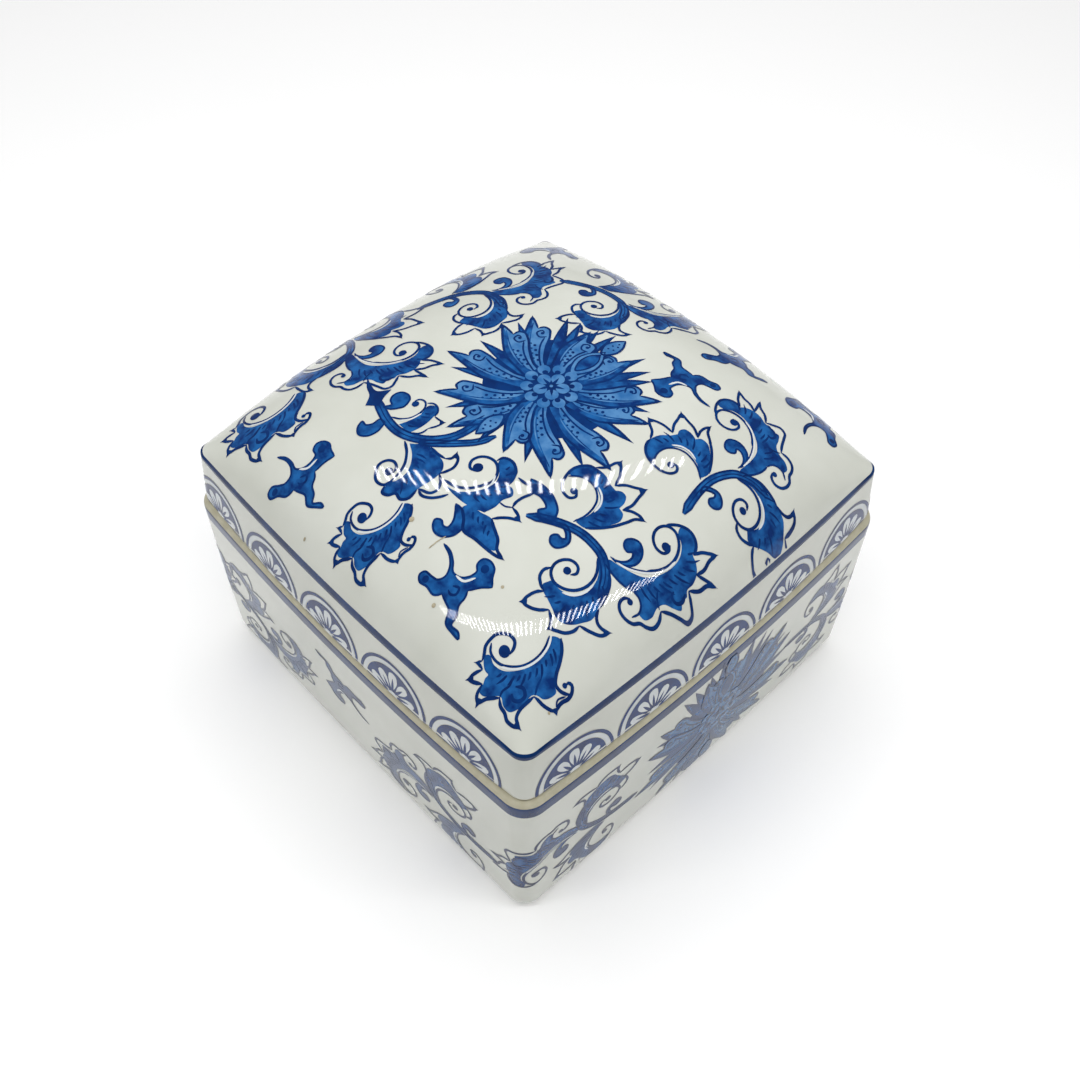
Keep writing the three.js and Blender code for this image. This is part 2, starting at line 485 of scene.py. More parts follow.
def top_leaf(brush):
    """The broad leaf at the head of the spray, with a curl on its right."""
    brush.fill([
        (-25.6, 30.4), (-25, 32.2), (-24, 33.6), (-21.5, 34.9), (-18.8, 35.3), (-18.2, 36),
        (-16.4, 36), (-15.2, 37.2), (-13.5, 36.2), (-11.6, 34.4), (-9.6, 34.1), (-7, 34.8), (-5, 34.2),
        (-4.6, 32.9), (-6.4, 31.9), (-7.1, 30.3), (-6.7, 28.5), (-5.6, 26), (-5.2, 22), (-5.3, 20.2, NOTCH),
        (-6.6, 20), (-7.6, 22), (-9, 25), (-10.9, 27.6), (-13, 28.9), (-15.5, 29.6), (-19, 29.9),
        (-22.2, 29.2), (-24.6, 27.3), (-25.4, 25.3, NOTCH), (-26.4, 24.6), (-27.6, 24.4), (-28.5, 26.2),
        (-28.3, 28.2), (-27.2, 29.7),
    ])
    brush.line([
        (-24, 21.9), (-26, 22.9), (-27.6, 24.3), (-28.6, 26), (-28.6, 28), (-27.4, 29.8),
        (-25.6, 30.6, NOTCH), (-28, 31.3), (-29.5, 32.3), (-31.2, 33.5, TIP), (-28.5, 33.5), (-26, 34.2),
        (-23.4, 34, NOTCH), (-24.6, 35.4), (-26.8, 37.9, TIP), (-24.8, 36.8), (-22, 36.6),
        (-19.3, 35.4, NOTCH), (-18.4, 37.3), (-17.2, 39.1), (-15.5, 39.4), (-13.8, 38.1), (-11.8, 36.3),
        (-10, 35, NOTCH), (-8.2, 36.2), (-6, 36.4), (-4.5, 35.4), (-3.6, 34.2), (-2, 33.4), (-1, 31.8),
        (-1, 29.8), (-2, 28.6), (-3.6, 28.4), (-4.9, 29.3),
    ])
    brush.dot(-4.4, 29.8, 0.7)
    brush.line([(-2.6, 32.3), (-4.8, 32.6), (-6.4, 31.5), (-6.9, 30), (-6.6, 28.6)], 0.5)
    brush.line([(-6.6, 28.6), (-5.7, 26.8), (-5.1, 23.5), (-5.3, 20.3)], 0.55)
    brush.line([
        (-12.6, 27.2), (-15.6, 28.7), (-19, 29.2), (-22, 28.5), (-24.3, 26.7), (-25.3, 24.3), (-24.7, 22.6),
        (-23.1, 21.6), (-21, 21.6), (-19.2, 22.8), (-18.4, 24.8), (-19.1, 26.5), (-20.6, 26.8), (-21.9, 26),
    ], 0.75)
    brush.dot(-20.7, 25.8, 1.1)
    brush.line([(-7.5, 19.8), (-8.3, 22.4), (-10.2, 25.2), (-12.8, 27.5)], 0.5)
    shine = [(-7.7, 21.6), (-8.8, 23.9), (-10.6, 26.1), (-13.6, 28.3), (-17, 29.5), (-20.5, 29.4)]
    brush.line(shine, 0.45, "bare", 3)
    brush.line([(-18.1, 35.4), (-16.2, 36.2), (-14.6, 35.6), (-14.4, 34.3), (-15.6, 33.7)], 0.75)
    brush.line([(-9.8, 34.6), (-10.6, 33), (-12, 31.6)], 0.45)
    brush.hatch([(-8.5, 28.5), (-11, 30.2), (-15, 31), (-19, 31.3), (-22.5, 30.9), (-25.5, 29)], 11, 3.2, -58)


def cup_leaf(brush):
    """The leaf that the stem turns into, cupped over its spiral."""
    brush.fill([
        (-4.4, 21.8), (-2, 24.4), (0.4, 25.5), (3.5, 26.9), (6, 27.4), (8.4, 26.5), (10.2, 25.6),
        (11.8, 24), (12.3, 22), (11.6, 19.8), (11, 17.6), (10.4, 15.4), (9.4, 14.4), (8.2, 14.8),
        (7.2, 15.2, NOTCH), (7.4, 17.4), (6.8, 19.4), (5, 21.2), (2.2, 22.2), (-0.8, 21.9), (-3.4, 20.2),
        (-4.6, 19, NOTCH),
    ])
    brush.line([
        (-4.6, 22.6), (-2.5, 24.6), (0, 25.8), (3, 26.7, NOTCH), (4.6, 27.6), (5.4, 29), (5.2, 30.3),
        (4.1, 31.8, TIP), (6.4, 31), (8, 29), (9.2, 26.6, NOTCH), (11, 26.6), (13, 25.6), (14.2, 24),
        (15.3, 22.5, TIP), (13.8, 21.8), (12.4, 19.6, NOTCH), (14.4, 17.8), (15.5, 15.8), (15.9, 13.9, TIP),
        (13.6, 14.1), (11.6, 14.8), (10.4, 15.8, NOTCH), (9.9, 14.2), (8.6, 12.5), (7, 12.1), (5.3, 12.9),
    ])
    brush.line([
        (-4.8, 18.2), (-3.2, 19.9), (-0.8, 21.2), (2, 21.4), (4.8, 20.3), (6.7, 18), (7.2, 15.8),
        (6.1, 13.6), (4, 12.8), (1.9, 13.4), (0.4, 15.1), (0.4, 16.9), (1.7, 17.8), (3.1, 17.1),
    ], 0.75)
    brush.dot(3, 15.9, 0.95)
    brush.line([(0.2, 22.1), (3.2, 22.1), (5.8, 20.9), (7.4, 18.8)], 0.55, "bare", 3)
    brush.hatch([(-2, 23.4), (2, 23.9), (6, 23.2), (8.8, 20.8), (9.2, 17)], 9, 2.6, 60)


def stem(brush, path, width):
    """A stem: a wash between two dark edges."""
    middle = through(path)
    side = sideways(middle)
    from_end = np.minimum(np.arange(len(middle)), np.arange(len(middle))[::-1])
    taper = np.clip((from_end + 1) * CURVE_STEP / 3, 0.35, 1)[:, None]
    brush.line(path, width, "wash", 0)
    for hand in (-1, 1):
        edge = (middle + side * hand * taper * (width / 2 - 0.22))[::3]
        brush.line([tuple(p) for p in edge], 0.5, ends=0.2)
    brush.line([tuple(p) for p in middle[4:-4:4]], 0.28, layer=1, ends=0.1)


def bud(brush, points):
    """A comma-shaped bud."""
    brush.fill(points, "wash", 0)
    brush.line(points, 0.55, closed=True)


SPRAY_STEM = [
    (0.7, -0.8), (-1.9, 2.9), (-4.3, 7), (-5.9, 11), (-6.4, 15), (-6.1, 18.2), (-4.6, 21), (-2, 23.4),
    (1.2, 24.8),
]


def spray(brush):
    """One spray of the vine, with its leaves and buds."""
    stem(brush, SPRAY_STEM, 2.4)
    near_leaf(brush)
    bud(brush, [
        (-4.6, 7.8), (-3.8, 9.8), (-2.2, 11.2), (-0.2, 11.1), (1.4, 9.8), (1.3, 8.2), (-0.1, 7.2),
        (-1.4, 8), (-1.4, 9.3), (-2, 10), (-3, 9.2), (-3.6, 7.8), (-3.2, 6, NOTCH),
    ])
    cup_leaf(brush)
    top_leaf(brush)
    bud(brush, [
        (-8, 22), (-9.2, 23.6), (-11.2, 24.6), (-13.4, 24.4), (-15.1, 23.2), (-15.8, 21.4), (-15, 19.9),
        (-13.4, 19.1), (-12, 19.9), (-11.7, 21.3), (-12.7, 22.2), (-12, 22.9), (-10.3, 23), (-8.8, 22.2),
        (-7.5, 20.5, NOTCH),
    ])


def tail_leaf(brush):
    """The hanging leaf with a scroll below it; its root is the origin."""
    brush.fill([
        (1.5, 0.4), (3.5, -1.2), (4.9, -3.2), (6.2, -5.4), (7.8, -7), (8.6, -7.3), (8.7, -9),
        (7.8, -10.7), (6.5, -11.2), (5.8, -11.8), (5.6, -14), (5.4, -16.2), (4.3, -17.9), (2.5, -18),
        (0.8, -17.2), (-0.5, -18), (-1.6, -19), (-2.7, -19.6), (-3.7, -19.6), (-4.2, -18), (-4.6, -17),
        (-4.5, -16.2), (-5.6, -16.1), (-6.9, -15.4), (-7.9, -14), (-7.3, -13.4), (-5, -14), (-2.7, -13.5),
        (-0.5, -11.6), (1, -9), (1.7, -6), (1.3, -3), (0.1, -0.6),
    ])
    brush.line([
        (1.6, 0.7), (3.7, -1), (5.1, -3), (6.3, -5.2), (7.7, -6.6), (9.1, -6.5), (10.2, -5.8), (10.8, -5),
    ])
    brush.line([
        (9, -4.8), (9, -4), (9.7, -3.6), (10.7, -4.4), (11.1, -6), (10.8, -7.5), (10.8, -8.5),
        (11.3, -10, TIP), (10, -10.9), (8.5, -11.5), (7, -11.7), (6.1, -11.9, NOTCH), (5.9, -14),
        (5.8, -16), (6.3, -17.5), (8.4, -18.4, TIP), (6.5, -19.2), (5, -19.3), (3.8, -18.7), (2, -18.4),
        (0.7, -17.5, NOTCH), (-0.5, -18.5), (-1.6, -19.5), (-2.7, -21.4, TIP), (-3.9, -20.3),
        (-4.3, -18.2, NOTCH), (-6, -19), (-7.8, -19.6, TIP), (-7.2, -17.8), (-6.3, -16.3, NOTCH),
        (-7.3, -16.1), (-8.5, -16.3, TIP), (-7.6, -15.2, NOTCH), (-8.2, -14), (-9.1, -12.8), (-9.3, -11),
        (-9, -9.4), (-7.9, -8.2), (-6.3, -7.4), (-4.9, -7.6), (-4, -8.8), (-3.8, -10.2),
    ])
    brush.dot(8.9, -5.0, 0.55)
    brush.dot(-5.1, -10.6, 1.4, squash=0.9)
    brush.line([
        (-0.4, -1), (0.5, -2.8), (1, -5), (0.8, -7.5), (-0.1, -9.8), (-1.7, -11.6), (-3.7, -12.9),
        (-5.7, -13.2), (-7.5, -12.7), (-8.6, -11.4),
    ], 0.6)
    brush.line([
        (-0.1, -0.7), (0.95, -2.6), (1.45, -5), (1.25, -7.6), (0.3, -10), (-1.3, -11.9), (-3.6, -13.4),
    ], 0.5, "bare", 3)
    brush.line([(4.6, -8.2), (5.1, -9.8), (6.1, -11.6)], 0.5)
    brush.line([(1.8, -13.6), (3.3, -12.6), (4.7, -13.4), (4.5, -14.9), (3.3, -15.7), (2.2, -15.1)], 0.8)
    brush.line([(0, -12.5), (0.7, -14.5), (0.3, -16.3), (0.7, -17.5)], 0.5)
    brush.line([(10.5, -6.2), (10.1, -7.2), (9.9, -8.1), (10.6, -9.3)], 0.4)
    brush.hatch([(2, -1.8), (2.6, -5), (2.4, -8), (1.2, -11), (-0.8, -13.2), (-3.6, -14.6)], 11, 2.4, 55)


def sprig(brush):
    """A loose sprig; the thin end of its stalk is the origin."""
    shape = [
        (0, 0, NOTCH), (2.5, -0.2), (5, -1.5), (6.8, -3.1), (9, -2.8), (10.8, -0.7), (11, 0.5), (9.8, 1.8),
        (9.9, 3.5), (11.5, 4.3), (13.5, 3.8), (14.8, 2), (16.4, 0.5, NOTCH), (14.5, -1.2),
        (12.6, -3.7, NOTCH), (13.2, -5.2), (13.3, -7.2), (14.6, -9.2), (14.8, -10.9), (17.5, -11.1),
        (18.3, -11.8), (16, -11.9), (13.5, -11.5), (12, -9.2), (10, -8.5), (8.3, -8, NOTCH), (6.8, -9.2),
        (4, -9), (1.5, -9.2), (0.6, -8.2), (1, -7.2), (3.5, -6.8), (5, -6.5), (6, -4.9), (5.4, -3),
        (3.5, -1.2),
    ]
    brush.fill(shape)
    brush.line(shape, 0.5, closed=True)
    brush.line([(7.9, -3.2), (10.2, -2.9), (11.9, -0.6)], 0.55, "bare", 3)
    brush.line([(9, -5.2), (10.6, -4.6), (11, -6), (9.8, -6.8), (8.8, -6.4)], 0.6)
    brush.dot(12, 2.2, 1.0, layer=1)
    brush.dot(2.6, -8.1, 0.8, layer=1)


# The flower's petals: heading and length of each, and how far it turns from root to tip, in degrees.
FLOWER_PETALS = [
    (20, 25.5, 24), (344, 28.5, 18), (315, 28, 22), (287, 23.5, 14), (255, 27.5, -14), (230, 28, -24),
    (200, 28.8, -16), (166, 26, -16), (148, 26.5, -16), (112, 22.5, -8), (72, 23, 8), (38, 26.5, 14),
]
# Headings of the dark spikes behind the petals, and the outlines of a spike and of its paler middle:
# share of the length and distance from the middle line.
FLOWER_SPIKES = [62, 73, 54, 29.5, 5, 333, 302, 272, 241, 210, 183, 156, 127, 119, 107, 97]
SPIKE = [(0.3, -2.2, NOTCH), (0.75, -1), (1, 0, NOTCH), (0.78, 1.1), (0.3, 2, NOTCH)]
VEIN = [(0.1, -1.5, NOTCH), (0.5, -1.1), (0.88, 0, NOTCH), (0.5, 1.2), (0.1, 1.5, NOTCH)]
PETAL_ROOT = 5.5
PETAL_SWELL = 1.13


def bent(heading, length, turn, share, offset):
    """A point beside a bent petal's middle line, at a share of its length."""
    radius = PETAL_ROOT + (length - PETAL_ROOT) * share
    angle = math.radians(heading - turn * max(1 - share, 0) ** 1.4)
    across = angle + math.pi / 2
    hand = 1 if turn > 0 else -1
    return (
        radius * math.cos(angle) + hand * offset * math.cos(across),
        radius * math.sin(angle) + hand * offset * math.sin(across),
    )


def bent_shape(heading, length, turn, points, swell=1):
    """An outline of shares and offsets, laid along a bent petal."""
    return [(*bent(heading, length, turn, p[0], swell * p[1]), *p[2:]) for p in points]


def petal(brush, heading, length, turn, layer):
    """One twisted petal: a smooth outer edge, an inner edge that swells and steps in, and a long tip."""
    def along(*points):
        return bent_shape(heading, length, turn, points, PETAL_SWELL)
    shape = along(
        (0, -1), (0.3, -2.2), (0.52, -2.6), (0.72, -1.8), (0.9, -0.8), (1.06, 0.5, TIP), (0.92, 1),
        (0.8, 1.5, NOTCH), (0.81, 3), (0.75, 4.2), (0.62, 4.3), (0.42, 3.1), (0.2, 1.9), (0, 1),
    )
    brush.fill(shape, "pale", layer)
    brush.fill(along(
        (0, -1), (0.3, -2.2), (0.52, -2.6), (0.72, -1.8), (0.9, -0.8), (1.05, 0.4, NOTCH), (0.85, 0),
        (0.6, -1), (0.3, -1), (0, -0.3),
    ), "wash", layer + 0.5)
    brush.line(shape, 0.65, "deep", layer + 1, closed=True)
    brush.line(along((0.05, 0.4), (0.3, 1.1), (0.48, 1.9), (0.6, 3)), 0.5, layer=layer + 1)
    brush.line(along((0.05, -0.4), (0.35, -0.6), (0.6, -0.5), (0.93, 0.4)), 0.35, "wash", layer + 1)
    x, y = bent(heading, length, turn, 0.69, 2.9)
    angle = math.radians(heading)
    scroll = [
        (x + radius * math.cos(angle + bearing), y + radius * math.sin(angle + bearing))
        for radius, bearing in ((1.8, 3.6), (1.7, 2.4), (1.5, 1.1), (1.1, -0.2), (0.6, -1.3))
    ]
    brush.line(scroll, 0.5, "deep", layer + 1)
    brush.dot(x, y, 0.5, layer=layer + 1)
    for share in (0.22, 0.31, 0.4, 0.49):
        brush.dot(*bent(heading, length, turn, share, 0.6), 0.42, layer=layer + 1)
        brush.dot(*bent(heading, length, turn, share + 0.05, -0.4), 0.3, layer=layer + 1)


def flower(brush):
    """The big flower, from its spikes in to its heart."""
    brush.fill(ring(0, 0, 17.5, count=24), "deep", 0)
    for i, heading in enumerate(FLOWER_SPIKES):
        length = 26.6 + 0.9 * math.sin(1.7 * i)
        turn = 9 if math.cos(math.radians(heading)) > 0 else -9
        brush.fill(bent_shape(heading, length, turn, SPIKE), "deep", 0)
        brush.fill(bent_shape(heading, length, turn, VEIN), "wash", 0.4)
    for i, (heading, length, turn) in enumerate(FLOWER_PETALS):
        petal(brush, heading, length, turn, 1 + 2.5 * (i % 2))
    for heading, reach in ((90, 27), (267, 24.5)):
        almond(brush.at(0, 0, heading - 90), reach - 9, reach)
    ringed_almond(brush, 6.5, 19.5)
    heart(brush)


def almond(brush, root, tip):
    """A pointed oval leaf with dots, from root to tip."""
    middle = (root + tip) / 2
    shape = [
        (0, tip, TIP), (1.8, middle + 1.2), (2.1, middle - 1), (0, root), (-2.1, middle - 1),
        (-1.8, middle + 1.2),
    ]
    brush.fill(shape, "pale", 5)
    brush.line(shape, 0.6, layer=6, closed=True)
    for x, y in ((-0.6, -1.5), (0.7, -0.9), (-0.6, 0.2), (0.6, 0.9), (0, 2)):
        brush.dot(x, middle + y, 0.3, layer=6)


def ringed_almond(brush, root, tip):
    """A dark pointed oval inside two rings."""
    middle = (root + tip) / 2
    for width, inset, ink in ((3.3, 0, "deep"), (2.8, 0.6, "pale"), (2, 1.7, "deep"), (1.5, 2.3, "wash")):
        brush.fill([
            (0, tip - inset, TIP), (width * 0.8, middle + 2.4), (width, middle - 1), (0, root + inset),
            (-width, middle - 1), (-width * 0.8, middle + 2.4),
        ], ink, 5 + inset)


def heart(brush):
    """Two rings of round petals round a small eye."""
    brush.fill(ring(0, 0, 7.2, count=20), "deep", 5)
    for i in range(10):
        angle = math.radians(36 * i + 10)
        x, y = 6.2 * math.cos(angle), 6.2 * math.sin(angle)
        brush.fill(ring(x, y, 1.65), "pale", 6)
        brush.dot(x * 0.83, y * 0.83, 0.75, layer=7)
    for i in range(5):
        angle = math.radians(72 * i + 30)
        brush.fill(ring(3.0 * math.cos(angle), 3.0 * math.sin(angle), 1.75), "pale", 6)
        brush.stroke([(0, 0), (1.6 * math.cos(angle), 1.6 * math.sin(angle)),
                      (3.4 * math.cos(angle), 3.4 * math.sin(angle))], 0.8, 7)
    brush.dot(0, 0, 0.9, layer=7)
    brush.dot(0, 0, 0.45, "pale", 8)


def rosette(brush):
    """Half a round flower that stands on the skirt's lower edge."""
    def arc(radius, rise, steps=16):
        angles = [math.pi * i / steps for i in range(steps + 1)]
        return [(radius * math.cos(a), rise * math.sin(a)) for a in angles]
    brush.line(arc(11.7, 12.0), 1, ends=1)
    brush.line(arc(10.5, 10.8), 1.15, "bare", 1, ends=1)
    ground = arc(9.7, 9.9)
    ground[0] = (*ground[0], NOTCH)
    ground[-1] = (*ground[-1], NOTCH)
    brush.fill(ground, "deep", 1)
    for heading, reach, width in (
        (90, 8.8, 1.55), (55, 8.2, 1.45), (125, 8.2, 1.45), (20, 8.3, 1.2), (160, 8.3, 1.2),
    ):
        own = brush.at(0, 0, heading - 90)
        own.fill([
            (0, 2.2), (width * 0.55, 3.6), (width, reach - 2), (width * 0.75, reach - 0.5), (0, reach),
            (-width * 0.75, reach - 0.5), (-width, reach - 2), (-width * 0.55, 3.6),
        ], "bare", 2)
        own.stroke([(0, 1.5), (0, 4), (0, reach - 2)], 0.8, 3)
    hub = arc(1.9, 1.6, steps=8)
    brush.fill([(*hub[0], NOTCH), *hub[1:-1], (*hub[-1], NOTCH)], "bare", 3)


# --- The lid's and the base's painting ----------------------------------------


def flower_stem(brush):
    """The stalk below the lid's flower, with its own leaves; drawn in the lid's frame."""
    brush.fill([
        (-36.5, -25.6, TIP), (-33.2, -27), (-30.2, -27.6), (-27.3, -24.9, TIP), (-26.8, -27.6),
        (-25.4, -30.6, NOTCH), (-28.5, -32.6, TIP), (-30.4, -29.8), (-33.2, -28.4),
    ], "deep", 2)
    stem(brush, [
        (-2.5, -15), (-2.2, -20), (-3.2, -24.6), (-6, -28.6), (-10, -31.4), (-15, -32.8), (-20, -32.3),
        (-24.5, -30.8), (-28, -29.3),
    ], 2.6)
    stem(brush, [(4.2, -17.5), (2.3, -21.8), (-1, -25.6), (-5, -29.2), (-8.5, -31.8)], 2.2)
    inner_leaf(brush)
    right_leaf(brush)
    bent_leaf(brush)
    bud(brush, [
        (19.5, -20.2, NOTCH), (23, -19.4), (27.5, -20), (30.5, -22), (31.2, -24.5), (29.5, -25.8),
        (27, -24.8), (27.8, -23.2), (25, -22), (22, -22.5),
    ])
    bud(brush, [
        (-20.2, -25.6), (-21, -24), (-22.6, -23.4), (-24.6, -24.1), (-25.3, -26), (-24.4, -27.6),
        (-23.2, -28.2), (-24.4, -30.2, NOTCH), (-22.4, -29.6), (-20.8, -28), (-20.1, -26.8),
    ])
    bud(brush, [
        (-22, -33.2, NOTCH), (-22.2, -35.4), (-23.4, -36.6), (-25, -36.4), (-24.7, -38), (-22.6, -39.6),
        (-20.3, -38.5), (-19.3, -36.2), (-19.9, -33, NOTCH),
    ])


def inner_leaf(brush):
    brush.fill([
        (-16.6, -31.3, NOTCH), (-15.4, -28.5), (-15, -25), (-15.5, -22.5), (-14, -21.4), (-12.3, -22.4),
        (-11.7, -24.5), (-11.5, -27.5), (-12, -29.8), (-12.6, -31.5, NOTCH),
    ])
    brush.line([
        (-12.2, -31), (-11, -30.4), (-10.1, -29.2), (-9.9, -27.4, NOTCH), (-8.9, -25.6), (-8.3, -23.5, TIP),
        (-10, -23.8), (-11.6, -23.8, NOTCH), (-12.2, -22.3), (-13.5, -21.3), (-15, -21.2), (-16.4, -22.2),
    ], 0.55)
    brush.line([
        (-20, -31), (-17.8, -30), (-16, -28.2), (-15.3, -25.6), (-15.9, -23.2), (-17.3, -22.2),
        (-18.8, -22.6), (-19.4, -23.8),
    ], 0.55)
    brush.dot(-18.5, -24.3, 0.95)
    brush.line([(-17.6, -30.6), (-15.6, -28.4), (-14.8, -25.4)], 0.45, "bare", 3)
    brush.hatch([(-14.6, -30.5), (-14.2, -27), (-14.2, -23.5)], 5, 1.8, -60)


def right_leaf(brush):
    brush.fill([
        (9, -35), (11.5, -33), (13.6, -30), (14.3, -27), (13.2, -24.7), (10.9, -23.2), (10.2, -21.2),
        (12.5, -20.2), (15, -21), (16.8, -23.5), (17, -25.3, NOTCH), (18.6, -25.3), (20, -26.6), (19.2, -29),
        (19.3, -31.5), (18.5, -34.3, NOTCH), (15, -35.5), (10, -36), (5.5, -35.6, NOTCH),
    ])
    brush.line([
        (4.5, -34.8), (8, -34.2), (10.6, -32.6), (12.6, -29.8), (13.6, -27), (12.4, -24.5), (10, -23),
        (7.6, -23.3), (5.9, -24.8), (5.5, -26.8), (6.7, -28.3), (8.4, -28.2),
    ])
    brush.dot(8.1, -27, 1.3)
    brush.line([(9.9, -22.5), (10.4, -20.8), (12.5, -20), (15, -20.9), (16.6, -22.6, NOTCH), (17.1, -25.2)])
    brush.line([
        (17.2, -22.2), (19.8, -22), (22.3, -20, TIP), (22.7, -23), (22, -25.5), (21.9, -27.5),
        (22.3, -28.8, NOTCH), (24.3, -29.1), (26.2, -30, TIP), (24, -31.1), (22.3, -32.6), (21, -34.2, NOTCH),
        (22.3, -35), (24, -35.8), (26, -36.8), (27.5, -38.5), (30.4, -39.2, TIP), (27.8, -39.9), (26, -40.1),
        (22, -40.3), (18, -40.6), (16, -38.6), (13.5, -37),
    ])
    brush.line([(19, -30), (20.8, -29.8), (22.3, -28.8)], 0.45)
    brush.fill([
        (14, -35.6), (18, -34.8), (21, -34.2), (24, -35.9), (26, -36.9), (27.6, -38.8), (26, -40),
        (22, -40.2), (18, -40.5), (15.8, -38.4), (13.5, -36.8),
    ])
    brush.line([(12.9, -25.6), (14, -28), (13, -31), (11, -33.6)], 0.45, "bare", 3)
    brush.hatch([(12.6, -33.6), (15, -30.6), (16, -27), (14.4, -23.6), (12.4, -22)], 8, 2.2, -60)
    brush.hatch([(16, -36), (20, -36), (24, -37)], 5, 1.8, -50)
    bud(brush, [
        (17.8, -40.4, NOTCH), (17.3, -43), (15.3, -45), (13, -45.3), (11.3, -44.2), (10.8, -43.2),
        (12.2, -42.3), (13.7, -43), (14.7, -42.6), (14.6, -40.8), (13.2, -38.8), (11.6, -37.2, NOTCH),
        (14, -37.3),
    ])


def bent_leaf(brush):
    brush.fill([
        (-6, -30.9), (-2, -31.1), (0.6, -31.6), (2.1, -33), (2.5, -35.2), (2.1, -38), (1.5, -40.5),
        (1.3, -44), (0, -45), (-2, -44.6), (-3.2, -46), (-5, -46.4), (-5.6, -44.7), (-4.4, -42),
        (-4.1, -39.5), (-5.3, -37), (-7.2, -35), (-10, -33.4, NOTCH),
    ])
    brush.line([
        (-5, -30.7), (-2, -30.9), (0.2, -30.6, NOTCH), (1.3, -29.5), (1.1, -27.6, TIP), (3, -29), (3.7, -31),
        (3.2, -32.8), (2.4, -34.4, NOTCH), (4.6, -36), (5.4, -38), (5, -39), (1.6, -40.4, NOTCH),
        (3.3, -41.1), (5.5, -40.3), (7.3, -38.6), (8.4, -36.8),
    ])
    brush.line([(1.5, -40.8), (1.4, -43.9), (0, -45), (-2, -44.7), (-3.2, -46.1), (-5, -46.5), (-5.8, -45)])
    brush.line([
        (-11.5, -33.7), (-8.6, -35.5), (-6.4, -38), (-5.5, -40.5), (-5.3, -42.6), (-6.2, -45),
        (-8.6, -45.4), (-10.5, -43.9), (-11.4, -42.2), (-10.8, -40.3), (-9, -39.3), (-7.2, -40),
        (-6.7, -41.4),
    ])
    brush.dot(-7.9, -41.9, 1.1)
    brush.line([(-10.2, -33.4), (-7.7, -35.5), (-5.7, -38), (-4.9, -41), (-5.1, -43)], 0.45, "bare", 3)
    brush.hatch([(-6.5, -34), (-4, -36.5), (-3, -39.5), (-3.4, -43)], 7, 2.6, 60)


def hold_on_lid(flat):
    """Keeps points a little inside the lid's bowed edge."""
    inset = 0.7
    share = np.clip(flat / LID_HALF, -1, 1)
    reach = LID_HALF - inset + BOW * (1 - share[:, ::-1] ** 2)
    return np.clip(flat, -reach, reach)


def hold_in_band(low, high):
    """Keeps points of a side between two heights."""
    def hold(flat):
        return np.stack([flat[:, 0], np.clip(flat[:, 1], low, high)], axis=1)
    return hold


# Brown specks in the glaze: place and radius.
SPECKS = [(6.3, -46.6, 0.65), (25.4, -56.5, 0.5), (35, -43.6, 0.4), (-15.5, -64, 0.35), (61, -53.4, 0.3)]


def paint_lid(canvas):
    """The dome's flower and vine, its specks, and the skirt's rosettes."""
    lid = Brush(canvas, dome_surface, hold_on_lid)
    flower(lid.at(1.3, 3.8))
    flower_stem(lid)
    for x, y, turn, size in (
        (26.8, -27.2, -90, 0.98), (48.4, 3.4, -19, 0.94), (-29.8, 38, -90, 0.93), (-51, 4, -55, 0.94),
        (-68.5, -14.8, -127, 0.97),
    ):
        spray(lid.at(x, y, turn, size))
    for x, y, turn, size in ((50.5, -42, 0, 1), (1.8, -44.4, -8.5, 0.94), (-50, -38.5, 0, 1.06)):
        tail_leaf(lid.at(x, y, turn, size))
    for x, y, turn in (
        (17, -45.8, 0), (-37.2, -55.3, 28), (31.2, 30.9, -161), (49, 48.8, 132), (9.5, 50, 47),
        (-43, 46, 160),
    ):
        sprig(lid.at(x, y, turn))
    lid.line([(16.1, -44.3), (15.4, -46.5), (15, -48.8)], 0.3, "speck", 3)
    for x, y, radius in SPECKS:
        lid.dot(x, y, radius, "speck", 3)
    for side in range(4):
        skirt = Brush(canvas, side_surface(side, skirt_sizes), hold_in_band(LID_SEAT + 0.3, LID_EDGE))
        first = -54.8 if side % 2 == 0 else -50.2
        for i in range(5):
            rosette(skirt.at(first + ROSETTE_PITCH * i, LID_SEAT))


def paint_base(canvas):
    """The walls' vine: two sides hold a sprig between sprays, the other two a flower."""
    for side in range(4):
        band = hold_in_band(FOOT_HEIGHT + 0.6, BASE_LINE_LOW + 2)
        wall = Brush(canvas, side_surface(side, wall_sizes), band)
        if side % 2 == 0:
            spray(wall.at(-62.5, 26, -123))
            sprig(wall.at(8, 32, 176, 1.15))
            spray(wall.at(56, 20.6, 61, 1.1))
        else:
            spray(wall.at(-27.6, 21.9, 51, 1.06))
            flower(wall.at(4.5, 30, 0, 1.1))
            spray(wall.at(32.5, 32.9, -123))


# --- Bodies of the box --------------------------------------------------------

SIDE_STEPS = 44
CORNER_STEPS = 12
GLAZED, BARE_CLAY, COBALT = 0, 1, 2


def outline_loop(half, bow, corner, z):
    """A closed loop of points, the same count for every loop."""
    radius, _, _, turn = plan_arcs(half, bow, corner)
    side_run = 2 * radius * turn
    corner_run = corner * (math.pi / 2 - 2 * turn)
    flat = np.linspace(-side_run / 2, side_run / 2, SIDE_STEPS, endpoint=False)
    bend = side_run / 2 + np.linspace(0, corner_run, CORNER_STEPS, endpoint=False)
    along = np.concatenate([flat, bend])
    sides = [outline_point(side, along, half, bow, corner) for side in range(4)]
    x = np.concatenate([s[0] for s in sides])
    y = np.concatenate([s[1] for s in sides])
    return np.stack([x, y, np.full_like(x, z)], axis=-1)


def wall_loop(z, inset=0.0):
    half, bow, corner = wall_sizes(z)
    return outline_loop(half - inset, bow, max(corner - inset, INNER_CORNER), z)


